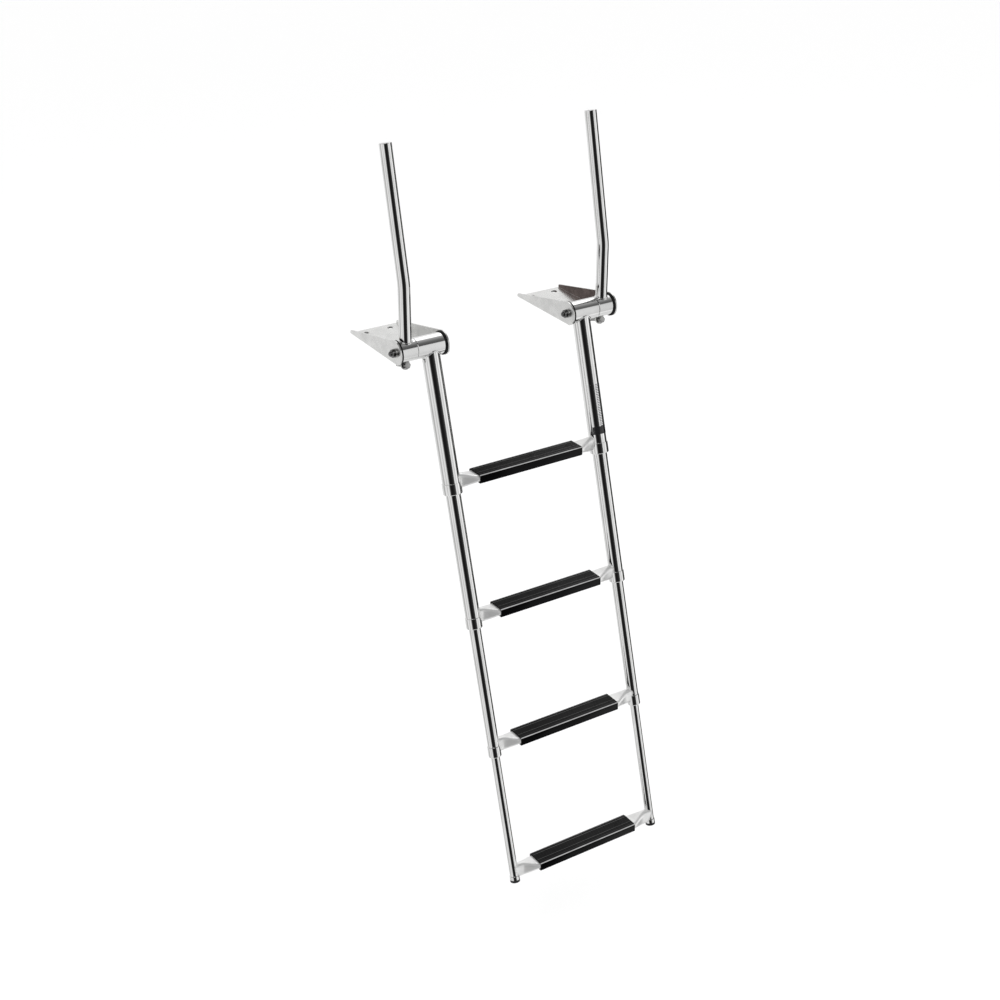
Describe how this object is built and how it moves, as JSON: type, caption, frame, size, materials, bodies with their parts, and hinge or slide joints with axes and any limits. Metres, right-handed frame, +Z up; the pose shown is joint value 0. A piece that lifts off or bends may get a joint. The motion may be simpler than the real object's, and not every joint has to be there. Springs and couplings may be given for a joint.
{
  "type": "telescopic boat boarding ladder",
  "caption": "Telescopic stainless boarding ladder on two deck brackets, with covered rungs that slide together and two folding handrails.",
  "frame": {"origin": "centre of the deck bolt pattern, on the underside of the bracket plates", "axes": "+Z up, +Y over the deck (the ladder hangs on the -Y side), +X to the right of a climber facing the boat"},
  "size_m": [0.5458, 0.5449, 1.5532],
  "materials": {
    "polished_tube": "mirror-polished stainless tube with faint lines along the tube",
    "polished_rung": "polished stainless rung, pressed flat, softly rippled at its necks",
    "polished_collar": "turned and polished stainless ring with fine lines round it",
    "polished_barrel": "polished stainless barrel with fine lines round it",
    "bracket_plate": "electropolished stainless plate, satin, edges worn bright",
    "fastener_steel": "stainless fasteners, lightly worn corners",
    "nylon_black": "black nylon, fine machining rings",
    "nylon_white": "white acetal guide rings",
    "cover_plastic": "black extruded PVC, satin, scuffed on the ribs",
    "foot_plastic": "black moulded plastic feet",
    "label_film": "silvery vinyl film with blank grey panels, no lettering",
    "label_dark": "black vinyl film"
  },
  "bodies": {
    "brackets": {"left_bracket": "bracket_plate", "right_bracket": "bracket_plate", "pivot_bolts": "fastener_steel", "pivot_nuts": "fastener_steel", "pivot_washers": "fastener_steel"},
    "section_1": {"left_sleeve": "polished_barrel", "right_sleeve": "polished_barrel", "sleeve_bushes": "nylon_black", "left_stile_1": "polished_tube", "right_stile_1": "polished_tube", "left_collar_1": "polished_collar", "right_collar_1": "polished_collar", "guide_bushes_1": "nylon_white", "rung_1": "polished_rung", "rung_cover_1": "cover_plastic", "stile_label": "label_film", "stile_label_band": "label_dark"},
    "section_2": {"left_stile_2": "polished_tube", "right_stile_2": "polished_tube", "top_bushes_2": "nylon_white", "left_collar_2": "polished_collar", "right_collar_2": "polished_collar", "guide_bushes_2": "nylon_white", "rung_2": "polished_rung", "rung_cover_2": "cover_plastic"},
    "section_3": {"left_stile_3": "polished_tube", "right_stile_3": "polished_tube", "top_bushes_3": "nylon_white", "left_collar_3": "polished_collar", "right_collar_3": "polished_collar", "guide_bushes_3": "nylon_white", "rung_3": "polished_rung", "rung_cover_3": "cover_plastic"},
    "section_4": {"left_stile_4": "polished_tube", "right_stile_4": "polished_tube", "top_bushes_4": "nylon_white", "left_foot_ferrule": "polished_collar", "right_foot_ferrule": "polished_collar", "left_foot_plug": "foot_plastic", "right_foot_plug": "foot_plastic", "rung_4": "polished_rung", "rung_cover_4": "cover_plastic"},
    "left_rail": {"left_handrail": "polished_tube", "left_handrail_hub": "polished_barrel", "left_handrail_bush": "nylon_black", "left_handrail_plug": "polished_collar", "left_stop_lug": "fastener_steel", "left_stop_locknut": "fastener_steel"},
    "left_stop": {"left_stop_screw": "fastener_steel"},
    "right_rail": {"right_handrail": "polished_tube", "right_handrail_hub": "polished_barrel", "right_handrail_bush": "nylon_black", "right_handrail_plug": "polished_collar", "right_stop_lug": "fastener_steel", "right_stop_locknut": "fastener_steel"},
    "right_stop": {"right_stop_screw": "fastener_steel"}
  },
  "joints": [
    {"name": "ladder_swing", "type": "hinge", "parent": "brackets", "child": "section_1", "pos_m": [0, -0.12, 0.0255], "axis": [-1, 0, 0], "range_deg": [0, 253]},
    {"name": "section_2_slide", "type": "slide", "parent": "section_1", "child": "section_2", "axis": [0, -0.2807, -0.9598], "range_m": [-0.242, 0]},
    {"name": "section_3_slide", "type": "slide", "parent": "section_2", "child": "section_3", "axis": [0, -0.2807, -0.9598], "range_m": [-0.242, 0]},
    {"name": "section_4_slide", "type": "slide", "parent": "section_3", "child": "section_4", "axis": [0, -0.2807, -0.9598], "range_m": [-0.242, 0]},
    {"name": "left_rail_fold", "type": "hinge", "parent": "brackets", "child": "left_rail", "pos_m": [-0.23735, -0.12, 0.0255], "axis": [-1, 0, 0], "range_deg": [0, 83]},
    {"name": "left_stop_adjust", "type": "slide", "parent": "left_rail", "child": "left_stop", "axis": [0, -0.9563, 0.2924], "range_m": [-0.0035, 0.009]},
    {"name": "right_rail_fold", "type": "hinge", "parent": "brackets", "child": "right_rail", "pos_m": [0.23735, -0.12, 0.0255], "axis": [-1, 0, 0], "range_deg": [0, 83]},
    {"name": "right_stop_adjust", "type": "slide", "parent": "right_rail", "child": "right_stop", "axis": [0, -0.9563, 0.2924], "range_m": [-0.0035, 0.009]}
  ]
}
